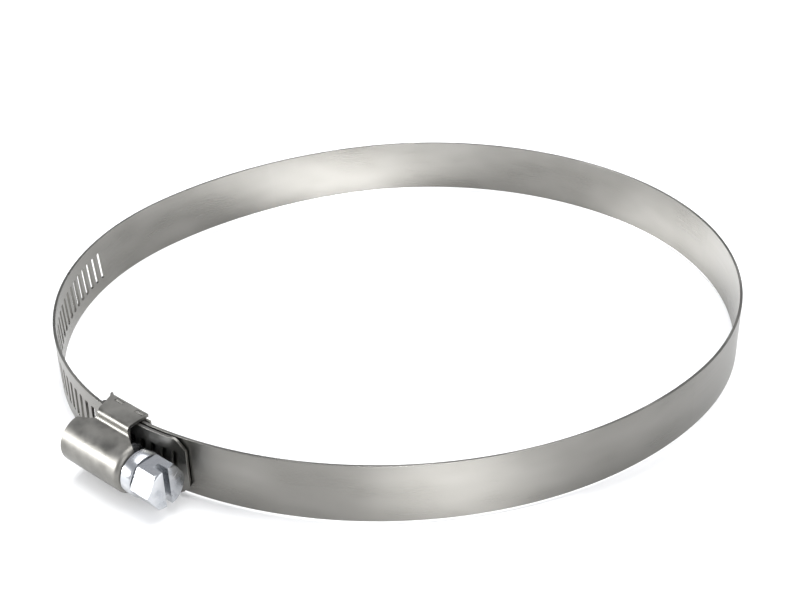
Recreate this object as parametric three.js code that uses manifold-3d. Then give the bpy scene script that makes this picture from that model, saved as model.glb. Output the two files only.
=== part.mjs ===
// Worm-drive hose and duct clamp, opened almost to its full size and lying on its side.
// A punched stainless band is bent into a ring. Its free end runs over its fixed end through
// a housing, where a slotted hex worm screw engages the band's slots and pulls it through.
// Millimetres, +Z up. The ring lies flat, its axis along Z, centred over the origin.

import * as THREE from 'three';
import { mergeVertices } from 'three/addons/utils/BufferGeometryUtils.js';
import Module from 'manifold-3d';

const wasm = await Module();
wasm.setup();

const radians = THREE.MathUtils.degToRad;

// ---------------------------------------------------------------- driving dimensions

// The strip and the slots punched through its free end.
const BAND_WIDTH = 12.7;
const BAND_THICKNESS = 0.6;
const SLOT_PITCH = 2.54;
const SLOT_LENGTH = 6.8;
const SLOT_WIDTH = 1.25;
const SLOT_SLANT = 0.65;
const SLOTS_AHEAD = 5;
const SLOTS_BEHIND = 29;

// Plan shape: arcs joined tangent to tangent, in order round the ring from the housing.
// A bearing is the direction of the band's outward normal. Two of the radii are worked out
// below, so that the free end comes back over the fixed end at the housing.
const HOUSING_BEARING = radians(229);
const CHANNEL_RADIUS = 60;
const LAP = 1.0;
const LOWER_RADIUS = 80;
const RIGHT_RADIUS = 61.5;
const LOWER_END = radians(319);
const RIGHT_END = radians(405);
const BACK_END = radians(464);
const SHOULDER_END = radians(496);

// Where the band starts, ends and bends, measured along it from the housing's middle.
const FIXED_END_REACH = 7.5;
const TAIL_REACH = 15.5;
const TAIL_CORNER = 2.2;
const FIRST_FLEX = 50.2;
const LAST_FLEX = 10;
const FLEX_COUNT = 13;
const FLEX_GAP = 0.3;
const FACET_LENGTH = 3.2;

// Housing. In its own frame X runs along the band towards the tip of the fixed end, away
// from the screw's head, Y points outwards from the ring and Z is up.
const AXIS_HEIGHT = 5.2;
const DOME_RADIUS = 5.0;
const DOME_BORE = 4.4;
const DOME_MOUTH = -8.3;
const DOME_BACK = 8.0;
const DOME_FOOT = 2.9;
const MOUTH_ROUND = 1.2;
const WALL = 0.6;
const WALL_GAP = 0.15;
const WALL_FRONT = -4.5;
const WALL_BACK = 6.0;
const WALL_FOOT = -1.75;
const WALL_RAKE = 1.9;
const SHOULDER_ROUND = 1.1;
const BEND_STEPS = 5;
const DOME_FACETS = 14;
const LIP_LENGTH = 0.8;
const LIP_BORE = 3.0;
const WINDOW_RISE = 5.5;

// Saddle: the plate under the fixed end, held to the housing's walls by four lugs.
const SADDLE_GAP = 0.38;
const SADDLE_THICKNESS = 0.5;
const SADDLE_HALF = 5.6;
const TONGUE_LENGTH = 3.2;
const TONGUE_ANGLE = radians(38);
const LUG_LENGTH = 2.0;
const LUG_SPREAD = 2.9;
const LUG_DROP = 0.05;
const SADDLE_INSET = 0.1;
const SADDLE_FACETS = 10;
const FIT = 0.12;

// Worm screw.
const THREAD_CREST = 4.25;
const THREAD_ROOT = 3.3;
const THREAD_TOP = 0.75;
const THREAD_BASE = 1.35;
const THREAD_FRONT = -6.9;
const THREAD_BACK = 6.8;
const NECK_RADIUS = 2.6;
const TIP_END = 7.6;
const COLLAR_BACK = -8.65;
const COLLAR_FRONT = -11.2;
const COLLAR_RADIUS = 4.4;
const COLLAR_EDGE = 0.35;
const GROOVE_RADIUS = 3.75;
const HEX_BACK = -11.5;
const HEX_FLATS = 7.94;
const HEAD_END = -16.5;
const HEAD_CHAMFER = 0.7;
const TIP_CHAMFER = 0.4;
const SLOT_BLADE = 1.3;
const SLOT_DEPTH = 2.6;
const THREAD_SINK = 0.3;
const THREAD_FACETS = 24;
const SCREW_FACETS = 36;

const MIDDLE = BAND_WIDTH / 2;

// Points closer together than WELD are one. Bodies that are joined overlap by JOIN, and a
// body that cuts another runs OVERRUN past it.
const WELD = 1e-5;
const JOIN = 0.2;
const OVERRUN = 1;

// ---------------------------------------------------------------- materials

function steel(color, roughness) {
  return new THREE.MeshStandardMaterial({ color, metalness: 1, roughness });
}

const bandSteel = () => steel(0x9b9890, 0.34);
const pressedSteel = () => steel(0x8c8a83, 0.4);
const platedSteel = () => steel(0xb4bac0, 0.3);

// ---------------------------------------------------------------- solids

function toSolid(geometry) {
  const bare = geometry.index ? geometry.toNonIndexed() : geometry.clone();
  bare.deleteAttribute('normal');
  bare.deleteAttribute('uv');
  const welded = mergeVertices(bare, WELD);
  return new wasm.Manifold(new wasm.Mesh({
    numProp: 3,
    vertProperties: new Float32Array(welded.attributes.position.array),
    triVerts: new Uint32Array(welded.index.array),
  }));
}

function toGeometry(solid) {
  const mesh = solid.getMesh();
  const geometry = new THREE.BufferGeometry();
  geometry.setAttribute('position', new THREE.BufferAttribute(mesh.vertProperties, 3));
  geometry.setIndex(new THREE.BufferAttribute(mesh.triVerts, 1));
  return geometry;
}

// A section drawn in (Z, Y), carried along X between two stations.
function alongX(section, from, to) {
  const settings = { depth: to - from, bevelEnabled: false, curveSegments: DOME_FACETS };
  const geometry = new THREE.ExtrudeGeometry(section, settings);
  geometry.rotateY(-Math.PI / 2);
  geometry.translate(to, 0, 0);
  return toSolid(geometry);
}

// A side view drawn in (X, Y), carried along Z between two levels.
function alongZ(outline, from, to) {
  const settings = { depth: to - from, bevelEnabled: false, curveSegments: SADDLE_FACETS };
  const geometry = new THREE.ExtrudeGeometry(outline, settings);
  geometry.translate(0, 0, from);
  return toSolid(geometry);
}

function box(x0, x1, y0, y1, z0, z1) {
  const geometry = new THREE.BoxGeometry(x1 - x0, y1 - y0, z1 - z0);
  geometry.translate((x0 + x1) / 2, (y0 + y1) / 2, (z0 + z1) / 2);
  return toSolid(geometry);
}

// A body turned about the screw's axis: the profile is a list of (radius, X).
function turned(profile, segments) {
  const points = profile.map(([radius, x]) => new THREE.Vector2(radius, x));
  const geometry = new THREE.LatheGeometry(points, segments);
  geometry.rotateZ(-Math.PI / 2);
  geometry.translate(0, AXIS_HEIGHT, MIDDLE);
  return toSolid(geometry);
}

function polygon(points) {
  return new THREE.Shape(points.map(([x, y]) => new THREE.Vector2(x, y)));
}

// ---------------------------------------------------------------- plan shape of the ring

const direction = (bearing) => new THREE.Vector2(Math.cos(bearing), Math.sin(bearing));

const chord = (from, to) => direction(to).sub(direction(from));

function ringArcs() {
  const fixedRadius = CHANNEL_RADIUS - LAP;
  const channelEnd = HOUSING_BEARING - DOME_MOUTH / fixedRadius;
  const turn = HOUSING_BEARING + 2 * Math.PI;
  const arcs = [
    { from: HOUSING_BEARING, to: channelEnd, radius: fixedRadius },
    { from: channelEnd, to: LOWER_END, radius: LOWER_RADIUS },
    { from: LOWER_END, to: RIGHT_END, radius: RIGHT_RADIUS },
    { from: RIGHT_END, to: BACK_END, radius: 0 },
    { from: BACK_END, to: SHOULDER_END, radius: 0 },
    { from: SHOULDER_END, to: turn, radius: CHANNEL_RADIUS },
  ];
  // The two open radii close the ring: the arcs must sum to one lap step outwards.
  const rest = direction(HOUSING_BEARING).multiplyScalar(LAP);
  for (const arc of arcs) {
    rest.addScaledVector(chord(arc.from, arc.to), -arc.radius);
  }
  const back = chord(RIGHT_END, BACK_END);
  const shoulder = chord(BACK_END, SHOULDER_END);
  arcs[3].radius = rest.cross(shoulder) / back.cross(shoulder);
  arcs[4].radius = back.cross(rest) / back.cross(shoulder);
  let start = 0;
  const point = new THREE.Vector2();
  for (const arc of arcs) {
    arc.start = start;
    arc.centre = point.clone().addScaledVector(direction(arc.from), -arc.radius);
    start += arc.radius * (arc.to - arc.from);
    point.addScaledVector(chord(arc.from, arc.to), arc.radius);
  }
  return { arcs, length: start };
}

const RING = ringArcs();

// The point at a distance along the band, moved outwards by an offset. The first and last
// arcs run on past the housing's middle, so that the two ends lap over each other.
function onRing(distance, offset, z) {
  const arc = RING.arcs.findLast((candidate) => distance >= candidate.start) ?? RING.arcs[0];
  const bearing = arc.from + (distance - arc.start) / arc.radius;
  const point = arc.centre.clone().addScaledVector(direction(bearing), arc.radius + offset);
  return new THREE.Vector3(point.x, point.y, z);
}

// ---------------------------------------------------------------- band

// A sheet laid out as a grid of cells and bent by place(i, j, side). A cell that isn't
// filled is a hole, and gets walls all round.
function sheet(columns, rows, isFilled, place) {
  const corners = [];
  const quad = (a, b, c, d) => corners.push(a, b, c, a, c, d);
  const filled = (i, j) => i >= 0 && j >= 0 && i < columns && j < rows && isFilled(i, j);
  for (let i = 0; i < columns; i++) {
    for (let j = 0; j < rows; j++) {
      if (!filled(i, j)) continue;
      const [a, b, c, d] = [[i, j], [i + 1, j], [i + 1, j + 1], [i, j + 1]];
      const outer = [a, b, c, d].map(([u, v]) => place(u, v, 1));
      const inner = [a, b, c, d].map(([u, v]) => place(u, v, -1));
      quad(...outer);
      quad(...[...inner].reverse());
      const neighbours = [[i, j - 1], [i + 1, j], [i, j + 1], [i - 1, j]];
      neighbours.forEach(([u, v], edge) => {
        if (filled(u, v)) return;
        const next = (edge + 1) % outer.length;
        quad(outer[edge], inner[edge], inner[next], outer[next]);
      });
    }
  }
  const geometry = new THREE.BufferGeometry().setFromPoints(corners);
  return mergeVertices(geometry, WELD);
}

const SLOT_CENTRES = [];
for (let k = -SLOTS_BEHIND; k <= SLOTS_AHEAD; k++) {
  SLOT_CENTRES.push(RING.length + k * SLOT_PITCH);
}

// The stretch of band between two distances, with every slot that lies wholly inside it.
function bandStretch(from, to) {
  const margin = (SLOT_WIDTH + SLOT_SLANT) / 2;
  const slots = SLOT_CENTRES.filter((c) => c - margin > from && c + margin < to);
  const stations = [from];
  const holes = new Set();
  const runTo = (end) => {
    const begin = stations.at(-1);
    const steps = Math.max(1, Math.ceil((end - begin) / FACET_LENGTH));
    for (let k = 1; k <= steps; k++) stations.push(begin + (end - begin) * k / steps);
  };
  for (const centre of slots) {
    runTo(centre - SLOT_WIDTH / 2);
    holes.add(stations.length - 1);
    stations.push(centre + SLOT_WIDTH / 2);
  }
  runTo(to);
  const low = MIDDLE - SLOT_LENGTH / 2;
  const levels = [0, low, BAND_WIDTH - low, BAND_WIDTH];
  return { stations, levels, holes };
}

function bandGeometry(from, to) {
  const { stations, levels, holes } = bandStretch(from, to);
  const rows = levels.length - 1;
  const slotRow = 1;
  const isFilled = (i, j) => j !== slotRow || !holes.has(i);
  const place = (i, j, side) => {
    const besideSlot = (holes.has(i) || holes.has(i - 1)) && j > 0 && j < rows;
    const slant = besideSlot ? SLOT_SLANT * (levels[j] - MIDDLE) / SLOT_LENGTH : 0;
    return onRing(stations[i] + slant, side * BAND_THICKNESS / 2, levels[j]);
  };
  return sheet(stations.length - 1, rows, isFilled, place);
}

// The free end's tip has its two corners cut off.
function tailGeometry(from, to) {
  const tip = onRing(to, 0, 0);
  const along = tip.clone().sub(onRing(to - TAIL_CORNER, 0, 0)).normalize();
  const across = new THREE.Vector3(0, 0, 1);
  const outward = new THREE.Vector3(along.y, -along.x, 0);
  const settings = { depth: 2 * OVERRUN, bevelEnabled: false };
  let body = toSolid(bandGeometry(from, to));
  for (const [edge, inward] of [[0, 1], [BAND_WIDTH, -1]]) {
    const waste = new THREE.ExtrudeGeometry(polygon([
      [-TAIL_CORNER, -OVERRUN * inward], [OVERRUN, -OVERRUN * inward],
      [OVERRUN, (TAIL_CORNER + OVERRUN) * inward],
    ]), settings);
    const frame = new THREE.Matrix4().makeBasis(along, across, outward);
    frame.setPosition(tip.clone().addScaledVector(across, edge).addScaledVector(outward, -OVERRUN));
    body = body.subtract(toSolid(waste.applyMatrix4(frame)));
  }
  return toGeometry(body);
}

// ---------------------------------------------------------------- housing and saddle

function archSection(radius, bore, foot) {
  const section = new THREE.Shape();
  section.moveTo(MIDDLE + radius, foot);
  section.lineTo(MIDDLE + radius, AXIS_HEIGHT);
  section.absarc(MIDDLE, AXIS_HEIGHT, radius, 0, Math.PI, false);
  section.lineTo(MIDDLE - radius, foot);
  section.lineTo(MIDDLE - bore, foot);
  section.lineTo(MIDDLE - bore, AXIS_HEIGHT);
  section.absarc(MIDDLE, AXIS_HEIGHT, bore, Math.PI, 0, true);
  section.lineTo(MIDDLE + bore, foot);
  return section;
}

// A quarter of a round bend, from one angle, as points (Z, Y).
function bend(z, y, radius, from, turn) {
  return Array.from({ length: BEND_STEPS + 1 }, (_, k) => {
    const angle = from + turn * (Math.PI / 2) * k / BEND_STEPS;
    return [z + radius * Math.cos(angle), y + radius * Math.sin(angle)];
  });
}

// One side of the pressing: the wall beside the band, the shoulder over the band's edge and
// the hollow curve up into the dome's side.
function wallSection(side) {
  const out = MIDDLE + WALL_GAP + WALL;
  const top = DOME_FOOT + WALL;
  const hollow = out - SHOULDER_ROUND - DOME_RADIUS;
  const points = [
    [DOME_BORE, DOME_FOOT], [out - WALL, DOME_FOOT], [out - WALL, WALL_FOOT], [out, WALL_FOOT],
    ...bend(out - SHOULDER_ROUND, top - SHOULDER_ROUND, SHOULDER_ROUND, 0, 1),
    ...bend(DOME_RADIUS + hollow, top + hollow, hollow, -Math.PI / 2, -1).slice(1),
    [DOME_BORE, top + hollow],
  ];
  return polygon(points.map(([z, y]) => [MIDDLE + side * z, y]));
}

function lugBoxes(fit) {
  const out = WALL_GAP + WALL;
  const top = -BAND_THICKNESS / 2 - SADDLE_GAP - LUG_DROP + fit;
  const bottom = top - SADDLE_THICKNESS - 2 * fit;
  const past = fit ? OVERRUN : 0;
  return [-LUG_SPREAD, LUG_SPREAD].map((x) => box(
    x - LUG_LENGTH / 2 - fit, x + LUG_LENGTH / 2 + fit, bottom, top,
    -out - past, BAND_WIDTH + out + past,
  ));
}

// What the rounded mouth leaves out of the dome's square end.
function mouthWaste() {
  const reach = DOME_RADIUS + OVERRUN;
  const start = DOME_MOUTH + MOUTH_ROUND;
  const rounded = turned([
    [0, DOME_MOUTH],
    ...bend(DOME_RADIUS - MOUTH_ROUND, start, MOUTH_ROUND, -Math.PI / 2, 1),
    [DOME_RADIUS, start + OVERRUN], [0, start + OVERRUN],
  ], 2 * DOME_FACETS);
  const blank = box(DOME_MOUTH - OVERRUN, start, AXIS_HEIGHT, AXIS_HEIGHT + reach,
    MIDDLE - reach, MIDDLE + reach);
  return blank.subtract(rounded);
}

function housingGeometry() {
  const arch = archSection(DOME_RADIUS, DOME_BORE, DOME_FOOT);
  let body = alongX(arch, DOME_MOUTH, DOME_BACK);
  const lip = archSection(DOME_RADIUS, LIP_BORE, DOME_FOOT);
  body = body.add(alongX(lip, DOME_MOUTH, DOME_MOUTH + LIP_LENGTH));
  for (const side of [-1, 1]) {
    body = body.add(alongX(wallSection(side), WALL_FRONT, WALL_BACK));
  }
  // Past the walls the dome's two sides are cut away in a slope at either end.
  const top = DOME_FOOT + WALL;
  const under = WALL_FOOT - OVERRUN;
  const before = DOME_MOUTH - OVERRUN;
  const behind = DOME_BACK + OVERRUN;
  const slopes = [
    [[WALL_FRONT, under], [WALL_FRONT, top], [DOME_MOUTH, WINDOW_RISE],
      [before, WINDOW_RISE], [before, under]],
    [[WALL_BACK, under], [WALL_BACK, WALL_FOOT], [WALL_BACK - WALL_RAKE, top],
      [DOME_BACK, WINDOW_RISE], [behind, WINDOW_RISE], [behind, under]],
  ];
  for (const slope of slopes) {
    body = body.subtract(alongZ(polygon(slope), -BAND_WIDTH, 2 * BAND_WIDTH));
  }
  body = body.subtract(mouthWaste());
  for (const notch of lugBoxes(FIT)) body = body.subtract(notch);
  return toGeometry(body);
}

// The plate follows the fixed end's curve, and its tongue turns in at the end.
function saddleGeometry() {
  const centre = LAP - CHANNEL_RADIUS;
  const outer = CHANNEL_RADIUS - LAP - BAND_THICKNESS / 2 - SADDLE_GAP;
  const inner = outer - SADDLE_THICKNESS;
  const swing = SADDLE_HALF / outer;
  const up = Math.PI / 2;
  const outline = new THREE.Shape();
  const tongue = (radius) => {
    const root = direction(up - swing).multiplyScalar(radius);
    root.y += centre;
    const heading = -swing - TONGUE_ANGLE;
    return [root.x + TONGUE_LENGTH * Math.cos(heading), root.y + TONGUE_LENGTH * Math.sin(heading)];
  };
  outline.absarc(0, centre, outer, up + swing, up - swing, true);
  outline.lineTo(...tongue(outer));
  outline.lineTo(...tongue(inner));
  outline.absarc(0, centre, inner, up - swing, up + swing, false);
  let body = alongZ(outline, SADDLE_INSET, BAND_WIDTH - SADDLE_INSET);
  for (const lug of lugBoxes(0)) body = body.add(lug);
  return toGeometry(body);
}

// ---------------------------------------------------------------- worm screw

// The thread is a trapezium carried round a right-hand helix about X. A crest faces the
// band exactly over a slot.
function threadSolid() {
  const turns = Math.ceil((THREAD_BACK - THREAD_FRONT) / SLOT_PITCH) + 2;
  const steps = turns * THREAD_FACETS;
  const first = Math.floor(THREAD_FRONT / SLOT_PITCH) - 1;
  const sunk = THREAD_ROOT - THREAD_SINK;
  const profile = [
    [-THREAD_BASE / 2, sunk], [-THREAD_TOP / 2, THREAD_CREST],
    [THREAD_TOP / 2, THREAD_CREST], [THREAD_BASE / 2, sunk],
  ];
  const ring = (step) => profile.map(([shift, radius]) => {
    const turn = first + step / THREAD_FACETS;
    const angle = 2 * Math.PI * turn + Math.PI;
    return new THREE.Vector3(turn * SLOT_PITCH + shift,
      AXIS_HEIGHT + radius * Math.cos(angle), MIDDLE + radius * Math.sin(angle));
  });
  const corners = [];
  const quad = (a, b, c, d) => corners.push(a, b, c, a, c, d);
  for (let step = 0; step < steps; step++) {
    const here = ring(step);
    const next = ring(step + 1);
    for (let k = 0; k < profile.length; k++) {
      const m = (k + 1) % profile.length;
      quad(here[m], here[k], next[k], next[m]);
    }
  }
  quad(...ring(0));
  quad(...ring(steps).reverse());
  const whole = toSolid(new THREE.BufferGeometry().setFromPoints(corners));
  const taper = THREAD_CREST - THREAD_ROOT;
  const reach = THREAD_CREST + JOIN;
  return whole.intersect(turned([
    [0, THREAD_FRONT], [THREAD_ROOT, THREAD_FRONT], [reach, THREAD_FRONT + taper],
    [reach, THREAD_BACK - taper], [THREAD_ROOT, THREAD_BACK], [0, THREAD_BACK],
  ], THREAD_FACETS));
}

function hexSolid() {
  const corner = HEX_FLATS / 2 / Math.cos(Math.PI / 6);
  const hexagon = new THREE.CylinderGeometry(corner, corner, HEX_BACK - HEAD_END, 6);
  hexagon.rotateZ(-Math.PI / 2);
  hexagon.rotateX(Math.PI / 6);
  hexagon.translate((HEX_BACK + HEAD_END) / 2, AXIS_HEIGHT, MIDDLE);
  const reach = corner + JOIN;
  const chamfered = turned([
    [0, HEAD_END], [corner - HEAD_CHAMFER, HEAD_END], [reach, HEAD_END + HEAD_CHAMFER / 2],
    [reach, HEX_BACK], [0, HEX_BACK],
  ], SCREW_FACETS);
  return toSolid(hexagon).intersect(chamfered);
}

function screwGeometry() {
  const core = turned([
    [0, HEX_BACK - JOIN], [GROOVE_RADIUS, HEX_BACK - JOIN], [GROOVE_RADIUS, COLLAR_FRONT],
    [COLLAR_RADIUS - COLLAR_EDGE, COLLAR_FRONT], [COLLAR_RADIUS, COLLAR_FRONT + COLLAR_EDGE],
    [COLLAR_RADIUS, COLLAR_BACK], [NECK_RADIUS, COLLAR_BACK], [NECK_RADIUS, THREAD_FRONT],
    [THREAD_ROOT, THREAD_FRONT], [THREAD_ROOT, THREAD_BACK], [NECK_RADIUS, THREAD_BACK],
    [NECK_RADIUS, TIP_END - TIP_CHAMFER], [NECK_RADIUS - TIP_CHAMFER, TIP_END], [0, TIP_END],
  ], SCREW_FACETS);
  const blade = box(HEAD_END - OVERRUN, HEAD_END + SLOT_DEPTH,
    AXIS_HEIGHT - SLOT_BLADE / 2, AXIS_HEIGHT + SLOT_BLADE / 2, -BAND_WIDTH, 2 * BAND_WIDTH);
  return toGeometry(core.add(threadSolid()).add(hexSolid()).subtract(blade));
}

// ---------------------------------------------------------------- assembly

function part(name, geometry, material) {
  const mesh = new THREE.Mesh(geometry, material);
  mesh.name = name;
  return mesh;
}

const clamp = new THREE.Group();

const worm = new THREE.Group();
worm.rotation.z = HOUSING_BEARING - Math.PI / 2;
worm.add(part('housing', housingGeometry(), pressedSteel()));
worm.add(part('saddle', saddleGeometry(), pressedSteel()));
worm.add(part('worm_screw', screwGeometry(), platedSteel()));
clamp.add(worm);

// The band bends at evenly spaced flexes, from behind the tail round to the fixed end.
const firstFlex = RING.length - FIRST_FLEX;
const flexes = Array.from({ length: FLEX_COUNT },
  (_, k) => firstFlex + (LAST_FLEX - firstFlex) * k / (FLEX_COUNT - 1));
const half = FLEX_GAP / 2;
clamp.add(part('band_tail', tailGeometry(firstFlex + half, RING.length + TAIL_REACH), bandSteel()));
for (let k = 1; k < FLEX_COUNT; k++) {
  const name = `band_link_${String(k).padStart(2, '0')}`;
  clamp.add(part(name, bandGeometry(flexes[k] + half, flexes[k - 1] - half), bandSteel()));
}
clamp.add(part('band_fixed_end', bandGeometry(-FIXED_END_REACH, LAST_FLEX - half), bandSteel()));

// The clamp lies on its lowest side, centred over the origin.
clamp.updateMatrixWorld(true);
const bounds = new THREE.Box3().setFromObject(clamp, true);
const centre = bounds.getCenter(new THREE.Vector3());
clamp.position.set(-centre.x, -centre.y, -bounds.min.z);

export default clamp;
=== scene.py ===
import math

import bmesh
import bpy
import numpy as np
from mathutils import Matrix, Vector


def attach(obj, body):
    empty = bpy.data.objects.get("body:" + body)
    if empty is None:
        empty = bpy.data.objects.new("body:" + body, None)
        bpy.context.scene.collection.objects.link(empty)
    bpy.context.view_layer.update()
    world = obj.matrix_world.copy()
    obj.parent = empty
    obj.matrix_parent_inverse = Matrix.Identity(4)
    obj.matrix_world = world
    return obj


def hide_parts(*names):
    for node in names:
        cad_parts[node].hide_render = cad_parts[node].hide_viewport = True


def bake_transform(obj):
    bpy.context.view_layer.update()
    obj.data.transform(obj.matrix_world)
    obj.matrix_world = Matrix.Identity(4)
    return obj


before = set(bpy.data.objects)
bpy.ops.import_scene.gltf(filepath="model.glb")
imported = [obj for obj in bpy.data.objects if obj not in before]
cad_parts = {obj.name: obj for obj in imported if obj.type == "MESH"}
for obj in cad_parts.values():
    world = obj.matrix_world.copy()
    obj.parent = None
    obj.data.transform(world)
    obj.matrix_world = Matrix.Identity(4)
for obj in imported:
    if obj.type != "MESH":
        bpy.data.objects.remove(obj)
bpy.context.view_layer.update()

# A worm-drive clamp: slotted stainless band, pressed housing, saddle and slotted hex worm
# screw. Lengths below are in millimetres in the clamp's own frame and become metres in mesh().
MM = 0.001

# ---------------------------------------------------------------- dimensions

ORIGIN = (-52.15103, -48.18661, 0.75)

BAND_WIDTH = 12.7
BAND_THICKNESS = 0.6
SLOT_PITCH = 2.54
SLOT_LENGTH = 6.8
SLOT_WIDTH = 1.25
SLOT_SLANT = 0.65
SLOT_CORNER = 0.3
SLOTS_AHEAD = 5
SLOTS_BEHIND = 29
BAND_EDGE = 0.09
MIDDLE = BAND_WIDTH / 2

HOUSING_BEARING = math.radians(229)
CHANNEL_RADIUS = 60
LAP = 1.0
LOWER_RADIUS = 80
RIGHT_RADIUS = 61.5
LOWER_END = math.radians(319)
RIGHT_END = math.radians(405)
BACK_END = math.radians(464)
SHOULDER_END = math.radians(496)

FIXED_END_REACH = 7.5
TAIL_REACH = 15.5
TAIL_CORNER = 2.2
TAIL_CORNER_CURVE = 1.25
FIXED_CORNER = 1.2
FIXED_CORNER_TRIM = 0.8
FIRST_FLEX = 50.2
LAST_FLEX = 10
FLEX_COUNT = 13
TAIL_STRIP_SLOTS = 25.5

# How far before and after a flex a point is taken along the band.
BEND_REACH = 13.0
TAIL_BEND_BEFORE = 1.0
TAIL_BEND_AFTER = 11.0
FIXED_BEND_AFTER = 5.0

AXIS_HEIGHT = 5.2
DOME_RADIUS = 5.0
DOME_MOUTH = -8.3
DOME_BACK = 8.0
DOME_FOOT = 2.9
MOUTH_ROUND = 1.2
WALL = 0.6
WALL_GAP = 0.15
WALL_FRONT = -4.5
WALL_BACK = 6.0
WALL_FOOT = -1.75
WALL_RAKE = 1.9
SHOULDER_ROUND = 1.1
LIP_BORE = 3.0
LIP_START = 0.05
LIP_RISE = 0.6
WINDOW_RISE = 5.5
HOUSING_EDGE = 0.08

SADDLE_GAP = 0.38
SADDLE_THICKNESS = 0.5
SADDLE_HALF = 5.6
SADDLE_INSET = 0.1
SADDLE_MARGIN = 1.4
SADDLE_EDGE = 0.07
TONGUE_LENGTH = 3.2
TONGUE_ANGLE = math.radians(38)
TONGUE_BEND = 1.1
TONGUE_TAPER = 0.09
LUG_LENGTH = 2.0
LUG_SPREAD = 2.9
LUG_DROP = 0.05
FIT = 0.12

THREAD_CREST = 4.25
THREAD_ROOT = 3.3
THREAD_TOP = 0.75
THREAD_BASE = 1.35
CREST_DROP = 0.14
CREST_FLANK = 0.05
CREST_INSET = 0.1
THREAD_SINK = 0.3
THREAD_FRONT = -6.9
THREAD_BACK = 6.8
NECK_RADIUS = 2.6
TIP_END = 7.6
TIP_CHAMFER = 0.4
COLLAR_BACK = -8.65
COLLAR_FRONT = -11.2
COLLAR_RADIUS = 4.4
COLLAR_EDGE = 0.35
COLLAR_KNEE = 0.1
COLLAR_KNEE_DEPTH = 0.1225
GROOVE_RADIUS = 3.75
HEX_BACK = -11.5
HEX_FLATS = 7.94
HEAD_END = -16.5
HEAD_CHAMFER = 0.7
CHAMFER_KNEE = 0.55
CHAMFER_KNEE_DEPTH = 0.14
CHAMFER_DEPTH = 0.62
BACK_CHAMFER = 0.15
BACK_CHAMFER_DEPTH = 0.45
SLOT_BLADE = 1.3
SLOT_DEPTH = 2.6
SCREW_EDGE = 0.1

# Bodies that are joined overlap by JOIN, and a body that cuts another runs OVERRUN past it.
JOIN = 0.2
OVERRUN = 1
LUG_OVERRUN = 2.0

# How finely the surfaces are divided.
BAND_STEP = 1.6
CORNER_STEPS = 3
FOLD_STEPS = 12
SIDE_STEPS = 4
CROWN_STEPS = 36
HOUSING_COLUMNS = 84
PLATE_STEPS = 16
PLATE_ROWS = 7
TONGUE_BEND_STEPS = 8
TONGUE_STEPS = 5
TONGUE_TAPER_STEPS = 4
TURNED_FACETS = 96
THREAD_FACETS = 48
SLACK = 0.01

# ---------------------------------------------------------------- plan shape of the ring


def unit(bearing):
    return np.array([math.cos(bearing), math.sin(bearing)])


def cross(a, b):
    return a[0] * b[1] - a[1] * b[0]


def ring_arcs():
    """The arcs as (start along the band, first bearing, radius, centre), and their length.
    The two radii left open close the ring one lap step further out."""
    fixed = CHANNEL_RADIUS - LAP
    channel_end = HOUSING_BEARING - DOME_MOUTH / fixed
    turn = HOUSING_BEARING + 2 * math.pi
    ends = [HOUSING_BEARING, channel_end, LOWER_END, RIGHT_END, BACK_END, SHOULDER_END, turn]
    radii = [fixed, LOWER_RADIUS, RIGHT_RADIUS, 0, 0, CHANNEL_RADIUS]
    rest = LAP * unit(HOUSING_BEARING)
    for a, b, radius in zip(ends, ends[1:], radii):
        rest = rest - radius * (unit(b) - unit(a))
    back = unit(BACK_END) - unit(RIGHT_END)
    shoulder = unit(SHOULDER_END) - unit(BACK_END)
    radii[3] = cross(rest, shoulder) / cross(back, shoulder)
    radii[4] = cross(back, rest) / cross(back, shoulder)
    arcs, start, point = [], 0.0, np.zeros(2)
    for a, b, radius in zip(ends, ends[1:], radii):
        arcs.append((start, a, radius, point - radius * unit(a)))
        start += radius * (b - a)
        point = point + radius * (unit(b) - unit(a))
    return arcs, start


ARCS, RING_LENGTH = ring_arcs()


def on_ring(distance, offset, z):
    """The point at a distance along the band, moved outwards by an offset."""
    passed = [arc for arc in ARCS if distance >= arc[0]]
    start, first, radius, centre = passed[-1] if passed else ARCS[0]
    x, y = centre + (radius + offset) * unit(first + (distance - start) / radius)
    return (x, y, z)


def flex_distance(k):
    first = RING_LENGTH - FIRST_FLEX
    return first + (LAST_FLEX - first) * k / (FLEX_COUNT - 1)


WORM_TURN = HOUSING_BEARING - math.pi / 2


def from_worm(x, y, z):
    """A point of the housing's own frame in the clamp's frame."""
    c, s = math.cos(WORM_TURN), math.sin(WORM_TURN)
    return (c * x - s * y, s * x + c * y, z)


def to_frame(point):
    return Vector([(p + o) * MM for p, o in zip(point, ORIGIN)])


# ---------------------------------------------------------------- mesh tools


def mesh(name, points, faces, uvs=None):
    """A linked object from points in the clamp's own frame, its faces turned outwards."""
    data = bpy.data.meshes.new(name)
    data.from_pydata([to_frame(p) for p in points], [], faces)
    if uvs is not None:
        layer = data.uv_layers.new(name="UVMap")
        for loop in data.loops:
            layer.data[loop.index].uv = uvs[loop.vertex_index]
    work = bmesh.new()
    work.from_mesh(data)
    bmesh.ops.recalc_face_normals(work, faces=work.faces)
    work.to_mesh(data)
    work.free()
    obj = bpy.data.objects.new(name, data)
    bpy.context.scene.collection.objects.link(obj)
    return obj


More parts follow.
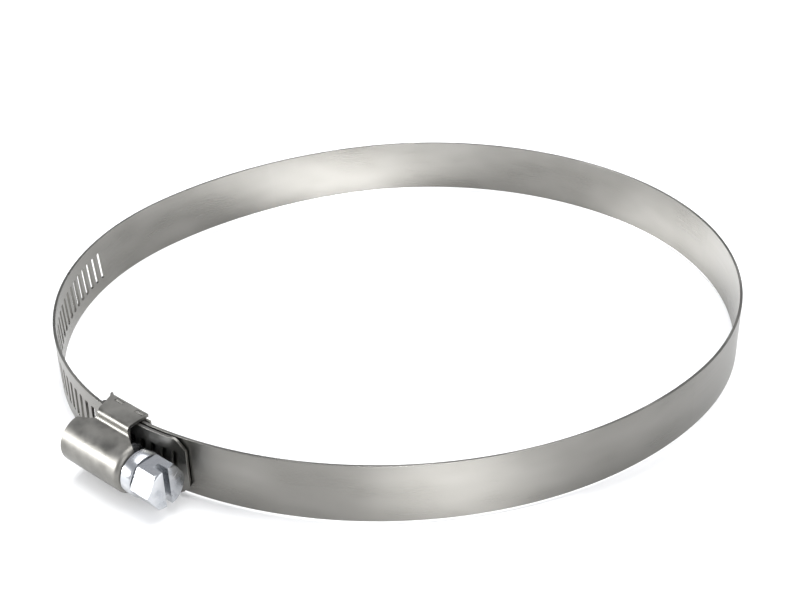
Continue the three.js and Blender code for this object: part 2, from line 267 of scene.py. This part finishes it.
def thicken(name, flat, faces, place, uv=False):
    """A sheet laid out in the plane, given two sides by place(u, v, side) and closed all round."""
    count = len(flat)
    points = [place(u, v, 1) for u, v in flat] + [place(u, v, -1) for u, v in flat]
    solid = [tuple(f) for f in faces] + [tuple(i + count for i in reversed(f)) for f in faces]
    edges = set()
    for f in faces:
        edges.update(zip(f, list(f[1:]) + [f[0]]))
    solid += [(b, a, a + count, b + count) for a, b in edges if (b, a) not in edges]
    uvs = [(u * MM, v * MM) for u, v in flat] * 2 if uv else None
    return mesh(name, points, solid, uvs)


def settle_modifiers(obj):
    """Makes the modifiers part of the mesh."""
    graph = bpy.context.evaluated_depsgraph_get()
    data = bpy.data.meshes.new_from_object(obj.evaluated_get(graph), depsgraph=graph)
    obj.modifiers.clear()
    obj.data = data
    return obj


def cut(obj, other, operation):
    """Joins, subtracts or intersects another object, which is used up."""
    step = obj.modifiers.new(operation, "BOOLEAN")
    step.operation = operation
    step.solver = "EXACT"
    step.object = other
    settle_modifiers(obj)
    bpy.data.objects.remove(other)
    return obj


def finish_edges(obj, width, angle):
    """Breaks every sharp edge with a small round, and shades the rest smooth. Edges already
    marked as sharp stay as they are."""
    for face in obj.data.polygons:
        face.use_smooth = True
    work = bmesh.new()
    work.from_mesh(obj.data)
    weight = work.edges.layers.float.new("bevel_weight_edge")
    for edge in work.edges:
        bent = len(edge.link_faces) == 2 and edge.calc_face_angle() > math.radians(angle)
        edge[weight] = 1.0 if bent and edge.smooth else 0.0
    work.to_mesh(obj.data)
    work.free()
    step = obj.modifiers.new("edges", "BEVEL")
    step.width = width * MM
    step.segments = 2
    step.limit_method = "WEIGHT"
    step.harden_normals = True
    step.miter_outer = "MITER_ARC"
    return settle_modifiers(obj)


class Flat:
    """Points and faces laid out in the plane, with equal points made one."""

    def __init__(self):
        self.points, self.index, self.faces = [], {}, []

    def at(self, u, v):
        key = (round(u, 5), round(v, 5))
        if key not in self.index:
            self.index[key] = len(self.points)
            self.points.append((u, v))
        return self.index[key]

    def face(self, *corners):
        self.faces.append([self.at(u, v) for u, v in corners])


# ---------------------------------------------------------------- band

# The band is divided across its width at these levels. Each slot has a share of the band
# round it, which is divided at the slot's own levels and TILE_MARK either side of its middle.
LOW_LEVELS = [1.5, 2.95]
SLOT_LEVELS = [4.1, 5.2, 6.35, 7.5, 8.6]
HIGH_LEVELS = [9.75, 11.2]
INNER_LEVELS = LOW_LEVELS + SLOT_LEVELS + HIGH_LEVELS
LEVELS = [0] + INNER_LEVELS + [BAND_WIDTH]
SLOT_CENTRES = [RING_LENGTH + k * SLOT_PITCH for k in range(-SLOTS_BEHIND, SLOTS_AHEAD + 1)]
TILE = SLOT_PITCH / 2
TILE_MARK = 0.42


def slot_outline(centre):
    """The slot's edge, anticlockwise from the low right corner, as (distance, level)."""
    low = MIDDLE - SLOT_LENGTH / 2
    high = BAND_WIDTH - low
    half = SLOT_WIDTH / 2
    r = SLOT_CORNER

    def arc(u, v, start):
        angles = [math.radians(start + 90 * k / CORNER_STEPS) for k in range(CORNER_STEPS + 1)]
        return [(u + r * math.cos(a), v + r * math.sin(a)) for a in angles]

    points = arc(half - r, low + r, -90) + [(half, v) for v in SLOT_LEVELS]
    points += arc(half - r, high - r, 0) + arc(r - half, high - r, 90)
    points += [(-half, v) for v in reversed(SLOT_LEVELS)] + arc(r - half, low + r, 180)
    slant = SLOT_SLANT / SLOT_LENGTH
    return [(centre + u + slant * (v - MIDDLE), v) for u, v in points]


def tile_outline(centre):
    """The edge of the slot's share of the band, point for point with slot_outline."""
    a, b = centre - TILE, centre + TILE
    left, right = centre - TILE_MARK, centre + TILE_MARK
    top = BAND_WIDTH
    points = [(right, 0), (b, 0)] + [(b, v) for v in INNER_LEVELS]
    points += [(b, top), (right, top), (left, top), (a, top)]
    points += [(a, v) for v in reversed(INNER_LEVELS)]
    return points + [(a, 0), (left, 0)]


def add_tile(flat, centre):
    """One slot and its share of the band."""
    hole, edge = slot_outline(centre), tile_outline(centre)
    for k in range(len(hole)):
        m = (k + 1) % len(hole)
        flat.face(hole[k], edge[k], edge[m], hole[m])


def add_plain(flat, start, end):
    """A stretch of band without slots."""
    steps = max(1, math.ceil((end - start) / BAND_STEP - 1e-6))
    stations = [start + (end - start) * k / steps for k in range(steps + 1)]
    for a, b in zip(stations, stations[1:]):
        for low, high in zip(LEVELS, LEVELS[1:]):
            flat.face((a, low), (b, low), (b, high), (a, high))


def narrowed(level, trim):
    """The level where the strip is narrower by a trim at either edge."""
    return trim + level * (1 - 2 * trim / BAND_WIDTH)


def band_piece(name, start, end, tip):
    """The strip between two distances. The free end's tip and the fixed end's are cornered."""
    flat = Flat()
    slots = [c for c in SLOT_CENTRES if start - SLACK <= c - TILE and c + TILE <= end + SLACK]
    done = start
    if slots:
        if slots[0] - TILE > start + SLACK:
            add_plain(flat, start, slots[0] - TILE)
        for centre in slots:
            add_tile(flat, centre)
        done = slots[-1] + TILE
    if end > done + SLACK:
        add_plain(flat, done, end)

    def place(u, v, side):
        past_tail = (u - (end - TAIL_CORNER)) / TAIL_CORNER
        past_fixed = (FIXED_CORNER - FIXED_END_REACH - u) / FIXED_CORNER
        if tip and past_tail > 0:
            v = narrowed(v, TAIL_CORNER * past_tail ** TAIL_CORNER_CURVE)
        if past_fixed > 0:
            v = narrowed(v, FIXED_CORNER_TRIM * past_fixed ** 2)
        return on_ring(u, side * BAND_THICKNESS / 2, v)

    obj = thicken(name, flat.points, flat.faces, place, uv=True)
    keep_seams(obj, [start] + ([] if tip else [end]))
    return finish_edges(obj, BAND_EDGE, angle=50)


def keep_seams(obj, distances):
    """Marks the edges round the ends that meet a neighbouring piece, so they stay square."""
    places = obj.data.uv_layers["UVMap"].data
    ends = set()
    for loop in obj.data.loops:
        if any(abs(places[loop.index].uv[0] / MM - d) < SLACK for d in distances if d > 0):
            ends.add(loop.vertex_index)
    work = bmesh.new()
    work.from_mesh(obj.data)
    for edge in work.edges:
        if all(v.index in ends for v in edge.verts):
            edge.smooth = False
    work.to_mesh(obj.data)
    work.free()


def band_point(distance):
    """A point in the middle of the strip."""
    return to_frame(on_ring(distance, 0, MIDDLE))


# ---------------------------------------------------------------- housing


def housing_profile():
    """Half the pressing's outer section from foot to crown: (Z, Y, normal Z, normal Y)."""
    out = MIDDLE + WALL_GAP + WALL
    top = DOME_FOOT + WALL
    hollow = out - SHOULDER_ROUND - DOME_RADIUS
    rows = [(out, WALL_FOOT + (top - SHOULDER_ROUND - WALL_FOOT) * k / FOLD_STEPS, 1, 0)
            for k in range(FOLD_STEPS)]
    for k in range(FOLD_STEPS + 1):
        a = math.radians(90 * k / FOLD_STEPS)
        rows.append((out - SHOULDER_ROUND * (1 - math.cos(a)),
                     top - SHOULDER_ROUND * (1 - math.sin(a)), math.cos(a), math.sin(a)))
    for k in range(1, FOLD_STEPS + 1):
        a = math.radians(90 * k / FOLD_STEPS)
        rows.append((DOME_RADIUS + hollow * (1 - math.sin(a)), top + hollow * (1 - math.cos(a)),
                     math.sin(a), math.cos(a)))
    side = AXIS_HEIGHT - top - hollow
    rows += [(DOME_RADIUS, top + hollow + side * k / SIDE_STEPS, 1, 0)
             for k in range(1, SIDE_STEPS + 1)]
    for k in range(1, CROWN_STEPS + 1):
        a = math.radians(90 * k / CROWN_STEPS)
        rows.append((DOME_RADIUS * math.cos(a), AXIS_HEIGHT + DOME_RADIUS * math.sin(a),
                     math.cos(a), math.sin(a)))
    return rows


def cut_line(y, points):
    """X at a height on a cut that runs straight between (Y, X) points."""
    return float(np.interp(y, [p[0] for p in points], [p[1] for p in points]))


def housing_piece():
    """The pressing's section carried along X between its two sloped cuts. At the mouth its
    dome turns in through a quarter round and runs on as a flat lip."""
    half = housing_profile()
    section = [(-z, y, -nz, ny) for z, y, nz, ny in half] + list(reversed(half))[1:]
    top = DOME_FOOT + WALL
    front = [(WALL_FOOT, WALL_FRONT), (top, WALL_FRONT), (WINDOW_RISE, DOME_MOUTH)]
    back = [(WALL_FOOT, WALL_BACK), (top, WALL_BACK - WALL_RAKE), (WINDOW_RISE, DOME_BACK)]
    round_start = DOME_MOUTH + MOUTH_ROUND
    arc_length = MOUTH_ROUND * math.pi / 2
    lip_length = DOME_RADIUS - MOUTH_ROUND - LIP_BORE

    def path(row, fraction):
        """How far along the row: X, and how far the surface has turned in at the mouth."""
        y = section[row][1]
        first, last = cut_line(y, back), cut_line(y, front)
        run = first - max(last, round_start)
        if last < round_start:
            run += MOUTH_ROUND * math.asin(min(1, (round_start - last) / MOUTH_ROUND))
        if y > WINDOW_RISE + LIP_START:
            run += lip_length * min(1, (y - WINDOW_RISE) / LIP_RISE)
        done = fraction * run
        straight = first - round_start
        if done <= straight:
            return first - done, 0.0, 0.0
        done -= straight
        if done <= arc_length:
            return round_start, done / MOUTH_ROUND, 0.0
        return round_start, math.pi / 2, done - arc_length

    def place(u, v, side):
        row = int(round(v))
        z, y, nz, ny = section[row]
        x, turn, lip = path(row, u)
        depth = 0 if side > 0 else WALL
        if turn > 0:
            inwards = MOUTH_ROUND * (1 - math.cos(turn)) + lip + depth * math.cos(turn)
            x = x - (MOUTH_ROUND - depth) * math.sin(turn)
        else:
            inwards = depth
        return from_worm(x, y - ny * inwards, MIDDLE + z - nz * inwards)

    flat = Flat()
    for row in range(len(section) - 1):
        for k in range(HOUSING_COLUMNS):
            a, b = k / HOUSING_COLUMNS, (k + 1) / HOUSING_COLUMNS
            flat.face((a, row), (a, row + 1), (b, row + 1), (b, row))
    obj = thicken("housing_shell", flat.points, flat.faces, place)
    for x in (-LUG_SPREAD, LUG_SPREAD):
        obj = cut(obj, notch_box(x), "DIFFERENCE")
    return finish_edges(obj, HOUSING_EDGE, angle=42)


def block(name, x0, x1, y0, y1, z0, z1):
    """A cutting block in the housing's own frame."""
    corners = [from_worm(x, y, z) for x in (x0, x1) for y in (y0, y1) for z in (z0, z1)]
    faces = [(0, 1, 3, 2), (4, 6, 7, 5), (0, 4, 5, 1), (2, 3, 7, 6), (0, 2, 6, 4), (1, 5, 7, 3)]
    return mesh(name, corners, faces)


def notch_box(x):
    """What a pair of the saddle's lugs needs to be cut out of the housing's two walls."""
    out = WALL_GAP + WALL + LUG_OVERRUN
    top = -BAND_THICKNESS / 2 - SADDLE_GAP - LUG_DROP + FIT
    bottom = top - SADDLE_THICKNESS - 2 * FIT
    return block("notch", x - LUG_LENGTH / 2 - FIT, x + LUG_LENGTH / 2 + FIT, bottom, top,
                 -out, BAND_WIDTH + out)


# ---------------------------------------------------------------- saddle


def saddle_path(stations):
    """The plate's middle line in the housing's own frame, as (X, Y, heading)."""
    centre = LAP - CHANNEL_RADIUS
    radius = CHANNEL_RADIUS - LAP - BAND_THICKNESS / 2 - SADDLE_GAP - SADDLE_THICKNESS / 2
    path = []
    for s in stations:
        a = s / radius
        path.append((radius * math.sin(a), centre + radius * math.cos(a), -a))
    x, y, heading = path[-1]
    length = TONGUE_ANGLE * TONGUE_BEND / TONGUE_BEND_STEPS
    for k in range(TONGUE_BEND_STEPS):
        heading -= TONGUE_ANGLE / TONGUE_BEND_STEPS
        x, y = x + length * math.cos(heading), y + length * math.sin(heading)
        path.append((x, y, heading))
    rest = TONGUE_LENGTH - TONGUE_ANGLE * TONGUE_BEND
    for k in range(1, TONGUE_STEPS + 1):
        run = rest * k / TONGUE_STEPS
        path.append((x + run * math.cos(heading), y + run * math.sin(heading), heading))
    return path


def saddle_piece():
    """The plate follows the fixed end's curve, and its tongue turns in at the end. Four lugs
    reach out of its two sides through the housing's walls."""
    lug_spans = [(s * LUG_SPREAD - LUG_LENGTH / 2, s * LUG_SPREAD + LUG_LENGTH / 2)
                 for s in (-1, 1)]
    even = [-SADDLE_HALF + 2 * SADDLE_HALF * k / PLATE_STEPS for k in range(PLATE_STEPS + 1)]
    stations = sorted(set(even + [end for span in lug_spans for end in span]))
    path = saddle_path(stations)
    last = len(path) - 1
    out = WALL_GAP + WALL
    inner = BAND_WIDTH - 2 * SADDLE_MARGIN
    levels = [-out, SADDLE_INSET]
    levels += [SADDLE_MARGIN + inner * k / PLATE_ROWS for k in range(PLATE_ROWS + 1)]
    levels += [BAND_WIDTH - SADDLE_INSET, BAND_WIDTH + out]
    flat = Flat()
    for i in range(last):
        on_lug = i + 1 < len(stations) and any(
            a - SLACK <= stations[i] and stations[i + 1] <= b + SLACK for a, b in lug_spans)
        for j in range(len(levels) - 1):
            if on_lug or 0 < j < len(levels) - 2:
                flat.face((i, levels[j]), (i + 1, levels[j]),
                          (i + 1, levels[j + 1]), (i, levels[j + 1]))

    def place(u, v, side):
        x, y, heading = path[int(round(u))]
        taper = max(0.0, (u - last + TONGUE_TAPER_STEPS) / TONGUE_TAPER_STEPS)
        v = MIDDLE + (v - MIDDLE) * (1 - TONGUE_TAPER * taper * taper)
        h = side * SADDLE_THICKNESS / 2
        return from_worm(x - h * math.sin(heading), y + h * math.cos(heading), v)

    obj = thicken("saddle_plate", flat.points, flat.faces, place)
    return finish_edges(obj, SADDLE_EDGE, angle=50)


# ---------------------------------------------------------------- worm screw


def turned(name, profile):
    """A body turned about the screw's axis from a run of (radius, X) between two poles."""
    points, faces, rings = [], [], []
    for r, x in profile:
        if r == 0:
            rings.append([len(points)])
            points.append(from_worm(x, AXIS_HEIGHT, MIDDLE))
            continue
        ring = []
        for k in range(TURNED_FACETS):
            a = 2 * math.pi * k / TURNED_FACETS
            ring.append(len(points))
            points.append(from_worm(x, AXIS_HEIGHT + r * math.cos(a), MIDDLE + r * math.sin(a)))
        rings.append(ring)
    for one, two in zip(rings, rings[1:]):
        for k in range(TURNED_FACETS):
            m = (k + 1) % TURNED_FACETS
            if len(one) == 1:
                faces.append((one[0], two[k], two[m]))
            elif len(two) == 1:
                faces.append((one[k], two[0], one[m]))
            else:
                faces.append((one[k], two[k], two[m], one[m]))
    return mesh(name, points, faces)


def thread_body():
    """A right-hand thread, tapered away at both ends. A crest faces the band over a slot."""
    first = math.floor(THREAD_FRONT / SLOT_PITCH) - 1
    turns = math.ceil((THREAD_BACK - THREAD_FRONT) / SLOT_PITCH) + 2
    sunk = THREAD_ROOT - THREAD_SINK
    shoulder = THREAD_CREST - CREST_DROP
    flank = THREAD_TOP / 2 + CREST_FLANK
    crest = THREAD_TOP / 2 - CREST_INSET
    shape = [(-THREAD_BASE / 2, sunk), (-flank, shoulder), (-crest, THREAD_CREST),
             (crest, THREAD_CREST), (flank, shoulder), (THREAD_BASE / 2, sunk)]
    points, faces = [], []
    n = len(shape)
    steps = turns * THREAD_FACETS
    for step in range(steps + 1):
        turn = first + step / THREAD_FACETS
        a = 2 * math.pi * turn + math.pi
        points += [from_worm(turn * SLOT_PITCH + shift, AXIS_HEIGHT + r * math.cos(a),
                             MIDDLE + r * math.sin(a)) for shift, r in shape]
    for step in range(steps):
        for k in range(n):
            m = (k + 1) % n
            i, j = step * n, (step + 1) * n
            faces.append((i + m, i + k, j + k, j + m))
    faces.append(tuple(range(n)))
    faces.append(tuple(reversed(range(steps * n, steps * n + n))))
    body = mesh("thread", points, faces)
    taper = THREAD_CREST - THREAD_ROOT
    reach = THREAD_CREST + JOIN
    keep = turned("thread_keep", [
        (0, THREAD_FRONT), (THREAD_ROOT, THREAD_FRONT), (reach, THREAD_FRONT + taper),
        (reach, THREAD_BACK - taper), (THREAD_ROOT, THREAD_BACK), (0, THREAD_BACK)])
    return cut(body, keep, "INTERSECT")


def hex_body():
    """The hexagon, its corners chamfered in two steps at the end and lightly at the back."""
    corner = HEX_FLATS / 2 / math.cos(math.pi / 6)
    points = []
    for x in (HEX_BACK, HEAD_END):
        for k in range(6):
            a = math.pi / 3 * k
            points.append(from_worm(x, AXIS_HEIGHT + corner * math.cos(a),
                                    MIDDLE + corner * math.sin(a)))
    faces = [tuple(range(6)), tuple(range(11, 5, -1))]
    faces += [(k, (k + 1) % 6, (k + 1) % 6 + 6, k + 6) for k in range(6)]
    body = mesh("hexagon", points, faces)
    reach = corner + JOIN
    keep = turned("hex_keep", [
        (0, HEAD_END), (corner - HEAD_CHAMFER, HEAD_END),
        (corner - HEAD_CHAMFER * CHAMFER_KNEE, HEAD_END + CHAMFER_KNEE_DEPTH),
        (reach, HEAD_END + CHAMFER_DEPTH), (reach, HEX_BACK - BACK_CHAMFER_DEPTH),
        (corner - BACK_CHAMFER, HEX_BACK), (0, HEX_BACK)])
    return cut(body, keep, "INTERSECT")


def screw_piece():
    """Groove, collar, neck, core and tip in one turned body, with the thread and the head."""
    core = turned("worm_screw_body", [
        (0, HEX_BACK - JOIN), (GROOVE_RADIUS, HEX_BACK - JOIN), (GROOVE_RADIUS, COLLAR_FRONT),
        (COLLAR_RADIUS - COLLAR_EDGE, COLLAR_FRONT),
        (COLLAR_RADIUS - COLLAR_KNEE, COLLAR_FRONT + COLLAR_KNEE_DEPTH),
        (COLLAR_RADIUS, COLLAR_FRONT + COLLAR_EDGE),
        (COLLAR_RADIUS, COLLAR_BACK), (NECK_RADIUS, COLLAR_BACK), (NECK_RADIUS, THREAD_FRONT),
        (THREAD_ROOT, THREAD_FRONT), (THREAD_ROOT, THREAD_BACK), (NECK_RADIUS, THREAD_BACK),
        (NECK_RADIUS, TIP_END - TIP_CHAMFER), (NECK_RADIUS - TIP_CHAMFER, TIP_END),
        (0, TIP_END)])
    core = cut(core, thread_body(), "UNION")
    core = cut(core, hex_body(), "UNION")
    blade = block("blade", HEAD_END - OVERRUN, HEAD_END + SLOT_DEPTH, AXIS_HEIGHT - SLOT_BLADE / 2,
                  AXIS_HEIGHT + SLOT_BLADE / 2, -BAND_WIDTH, 2 * BAND_WIDTH)
    core = cut(core, blade, "DIFFERENCE")
    return finish_edges(core, SCREW_EDGE, angle=28)


# ---------------------------------------------------------------- materials


# Most of a noise lies between these two values.
NOISE_LOW = 0.3
NOISE_HIGH = 0.7


def metal(name, color, roughness, anisotropic=0.0):
    """A plain metal, with its nodes, links and shader for textures to be added."""
    material = bpy.data.materials.new(name)
    material.use_nodes = True
    nodes, links = material.node_tree.nodes, material.node_tree.links
    shader = nodes["Principled BSDF"]
    shader.inputs["Metallic"].default_value = 1.0
    shader.inputs["Base Color"].default_value = (*color, 1)
    shader.inputs["Roughness"].default_value = roughness
    shader.inputs["Anisotropic"].default_value = anisotropic
    return material, nodes, links, shader


def noise(nodes, links, source, scale, size, detail):
    """Noise laid over a place, stretched by a scale in each direction."""
    mapping = nodes.new("ShaderNodeMapping")
    mapping.inputs["Scale"].default_value = scale
    links.new(source, mapping.inputs["Vector"])
    texture = nodes.new("ShaderNodeTexNoise")
    texture.inputs["Scale"].default_value = size
    texture.inputs["Detail"].default_value = detail
    links.new(mapping.outputs["Vector"], texture.inputs["Vector"])
    return texture.outputs["Fac"]


def ramp(nodes, links, value, low, high):
    """Turns the middle of a noise's range into a run between two colours."""
    node = nodes.new("ShaderNodeValToRGB")
    ends = zip(node.color_ramp.elements, (NOISE_LOW, NOISE_HIGH), (low, high))
    for element, position, color in ends:
        element.position = position
        element.color = (*color, 1)
    links.new(value, node.inputs["Fac"])
    return node.outputs["Color"]


def spread(nodes, links, value, low, high, start=NOISE_LOW, end=NOISE_HIGH):
    """Turns a run of a value into a run between two others."""
    node = nodes.new("ShaderNodeMapRange")
    node.inputs["From Min"].default_value = start
    node.inputs["From Max"].default_value = end
    node.inputs["To Min"].default_value = low
    node.inputs["To Max"].default_value = high
    links.new(value, node.inputs["Value"])
    return node.outputs["Result"]


def mix_values(nodes, links, a, b, weight):
    """a times a weight, plus b."""
    node = nodes.new("ShaderNodeMath")
    node.operation = "MULTIPLY_ADD"
    node.inputs[1].default_value = weight
    links.new(a, node.inputs[0])
    links.new(b, node.inputs[2])
    return node.outputs["Value"]


def bump(nodes, links, shader, height, strength, distance):
    """Roughens the surface by a height."""
    node = nodes.new("ShaderNodeBump")
    node.inputs["Strength"].default_value = strength
    node.inputs["Distance"].default_value = distance
    links.new(height, node.inputs["Height"])
    links.new(node.outputs["Normal"], shader.inputs["Normal"])


def band_steel():
    """Rolled strip: fine grain along its length, slow dull patches, faint scratches."""
    material, nodes, links, shader = metal("band_steel", (0.24, 0.235, 0.22), 0.28, 0.45)
    uv = nodes.new("ShaderNodeUVMap")
    uv.uv_map = "UVMap"
    place = uv.outputs["UV"]
    grain = noise(nodes, links, place, scale=(60, 9000, 1), size=1.0, detail=4.0)
    patches = noise(nodes, links, place, scale=(40, 90, 1), size=1.0, detail=2.0)
    specks = noise(nodes, links, place, scale=(900, 2200, 1), size=1.0, detail=2.0)
    color = ramp(nodes, links, patches, (0.165, 0.161, 0.149), (0.235, 0.23, 0.216))
    links.new(color, shader.inputs["Base Color"])
    rough = mix_values(nodes, links, grain, patches, 0.6)
    links.new(spread(nodes, links, rough, 0.22, 0.42, start=0.5, end=1.1),
              shader.inputs["Roughness"])
    height = mix_values(nodes, links, specks, grain, 0.5)
    bump(nodes, links, shader, height, strength=0.12, distance=0.04 * MM)
    return material


def pressed_steel(name, low, high):
    """Pressed sheet: mottled satin with a faint orange peel from the die."""
    material, nodes, links, shader = metal(name, high, 0.36)
    where = nodes.new("ShaderNodeTexCoord").outputs["Object"]
    mottle = noise(nodes, links, where, scale=(1, 1, 1), size=260, detail=3.0)
    peel = noise(nodes, links, where, scale=(1, 1, 1), size=1900, detail=3.0)
    links.new(ramp(nodes, links, mottle, low, high), shader.inputs["Base Color"])
    links.new(spread(nodes, links, mix_values(nodes, links, peel, mottle, 0.3), 0.26, 0.44),
              shader.inputs["Roughness"])
    bump(nodes, links, shader, peel, strength=0.16, distance=0.05 * MM)
    return material


def plated_steel():
    """Bright zinc plating with a cool cast, slightly clouded."""
    material, nodes, links, shader = metal("plated_steel", (0.66, 0.69, 0.73), 0.22)
    where = nodes.new("ShaderNodeTexCoord").outputs["Object"]
    cloud = noise(nodes, links, where, scale=(1, 1, 1), size=420, detail=3.0)
    fine = noise(nodes, links, where, scale=(1, 1, 1), size=3200, detail=2.0)
    color = ramp(nodes, links, cloud, (0.38, 0.395, 0.42), (0.55, 0.56, 0.575))
    links.new(color, shader.inputs["Base Color"])
    links.new(spread(nodes, links, cloud, 0.3, 0.17), shader.inputs["Roughness"])
    bump(nodes, links, shader, fine, strength=0.1, distance=0.03 * MM)
    return material


# ---------------------------------------------------------------- pieces

BAND = band_steel()
HOUSING = pressed_steel("housing_steel", (0.145, 0.142, 0.131), (0.225, 0.22, 0.205))
SADDLE = pressed_steel("saddle_steel", (0.2, 0.195, 0.18), (0.28, 0.272, 0.255))
ZINC = plated_steel()


def dress(obj, material, slot, *nodes):
    """Gives a piece its material and hides the imported parts of the nodes that it stands for. The
    slot is not used.
    """
    obj.data.materials.clear()
    obj.data.materials.append(material)
    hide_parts(*nodes)
    return obj


def band_pieces():
    """The strip is one run to look at. Each piece spans a flex, and its ends lie where a link is
    rigid, so that neighbours stay face to face."""
    flexes = [flex_distance(k) for k in range(FLEX_COUNT)]
    seams = [(a + b) / 2 for a, b in zip(flexes, flexes[1:])]
    seams[0] = RING_LENGTH - TAIL_STRIP_SLOTS * SLOT_PITCH
    bodies = ["tail"] + ["link_%02d" % k for k in range(1, FLEX_COUNT)] + ["fixed_end"]
    ends = [RING_LENGTH + TAIL_REACH] + seams + [-FIXED_END_REACH]
    last = FLEX_COUNT - 1
    for k, flex in enumerate(flexes):
        piece = band_piece("band_strip_%02d" % (k + 1), ends[k + 1], ends[k], tip=k == 0)
        nodes = bodies[k:] if k == last else bodies[k:k + 1]
        dress(piece, BAND, "band", *["band_" + body for body in nodes])
        before = TAIL_BEND_BEFORE if k == 0 else BEND_REACH
        after = {0: TAIL_BEND_AFTER, last: FIXED_BEND_AFTER}.get(k, BEND_REACH)
        tuple(band_point(flex + before))
        tuple(band_point(flex - after))
        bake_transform(piece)


band_pieces()
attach(dress(housing_piece(), HOUSING, "housing", "housing"), "root")
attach(dress(saddle_piece(), SADDLE, "saddle", "saddle"), "root")
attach(dress(screw_piece(), ZINC, "screw", "worm_screw"), "screw")

# ---------------------------------------------------------------- stage, light, camera


FLOOR_HALF = 3.0
FLOOR_DROP = 0.03 * MM
POOL_HEIGHT = 0.4
POOL_ANGLE = math.radians(7)
POOL_LAMP = 0.012


def make_floor():
    """A plain pale floor, a hair below the clamp."""
    h = FLOOR_HALF
    data = bpy.data.meshes.new("floor")
    data.from_pydata([(-h, -h, 0), (h, -h, 0), (h, h, 0), (-h, h, 0)], [], [(0, 1, 2, 3)])
    floor = bpy.data.objects.new("floor", data)
    bpy.context.scene.collection.objects.link(floor)
    floor.location.z = -FLOOR_DROP
    material = bpy.data.materials.new("floor_white")
    material.use_nodes = True
    shader = material.node_tree.nodes["Principled BSDF"]
    shader.inputs["Base Color"].default_value = (0.93, 0.93, 0.93, 1)
    shader.inputs["Roughness"].default_value = 0.75
    shader.inputs["Specular IOR Level"].default_value = 0.2
    data.materials.append(material)


def area_light(name, place, aim, size, depth, power):
    """A rectangular soft light that faces the point it is aimed at."""
    data = bpy.data.lights.new(name, "AREA")
    data.shape = "RECTANGLE"
    data.size = size
    data.size_y = depth
    data.energy = power
    light = bpy.data.objects.new(name, data)
    light.location = place
    light.rotation_euler = (Vector(aim) - Vector(place)).to_track_quat("-Z", "Y").to_euler()
    bpy.context.scene.collection.objects.link(light)


def floor_pool(name, x, y, power):
    """A soft pool of light on the floor, which the upright band mirrors as a bright zone."""
    data = bpy.data.lights.new(name, "SPOT")
    data.energy = power
    data.spot_size = POOL_ANGLE
    data.spot_blend = 1.0
    data.shadow_soft_size = POOL_LAMP
    light = bpy.data.objects.new(name, data)
    light.location = (x, y, POOL_HEIGHT)
    bpy.context.scene.collection.objects.link(light)


def make_light():
    """A pale room, three soft lights and three pools on the floor."""
    world = bpy.data.worlds.new("studio")
    bpy.context.scene.world = world
    world.use_nodes = True
    background = world.node_tree.nodes["Background"]
    background.inputs["Color"].default_value = (0.93, 0.95, 1.0, 1)
    background.inputs["Strength"].default_value = 0.55
    area_light("top_soft", place=(0.1, 0.15, 0.9), aim=(0, 0, 0),
               size=0.9, depth=0.9, power=10.5)
    area_light("left_soft", place=(-0.75, -0.2, 0.22), aim=(-0.05, -0.05, 0),
               size=0.35, depth=0.16, power=6.0)
    area_light("front_soft", place=(0.35, -0.7, 0.5), aim=(0, 0, 0),
               size=0.3, depth=0.5, power=2.4)
    floor_pool("pool_back", -0.010, 0.050, power=24.0)
    floor_pool("pool_right", 0.054, 0.026, power=14.0)
    floor_pool("pool_front", 0.012, -0.080, power=16.0)


CAMERA_TARGET = Vector((-0.00004, -0.00039, 0.0071))
CAMERA_ELEVATION = math.radians(31.92)
CAMERA_DISTANCE = 0.3033
CAMERA_ROLL = math.radians(-1.455)
CAMERA_LENS = 62
CAMERA_SENSOR = 36
CAMERA_NEAR = 0.005


def make_camera():
    """Looks down on the clamp from the front, rolled a little."""
    data = bpy.data.cameras.new("camera")
    data.lens = CAMERA_LENS
    data.sensor_width = CAMERA_SENSOR
    data.clip_start = CAMERA_NEAR
    camera = bpy.data.objects.new("camera", data)
    away = Vector((0, -math.cos(CAMERA_ELEVATION), math.sin(CAMERA_ELEVATION)))
    camera.location = CAMERA_TARGET + CAMERA_DISTANCE * away
    look = (-away).to_track_quat("-Z", "Y").to_matrix()
    roll = Matrix.Rotation(CAMERA_ROLL, 3, "Z")
    camera.rotation_euler = (look @ roll).to_euler()
    bpy.context.scene.collection.objects.link(camera)
    bpy.context.scene.camera = camera


make_floor()
make_light()
make_camera()
bpy.context.scene.view_settings.view_transform = "Standard"
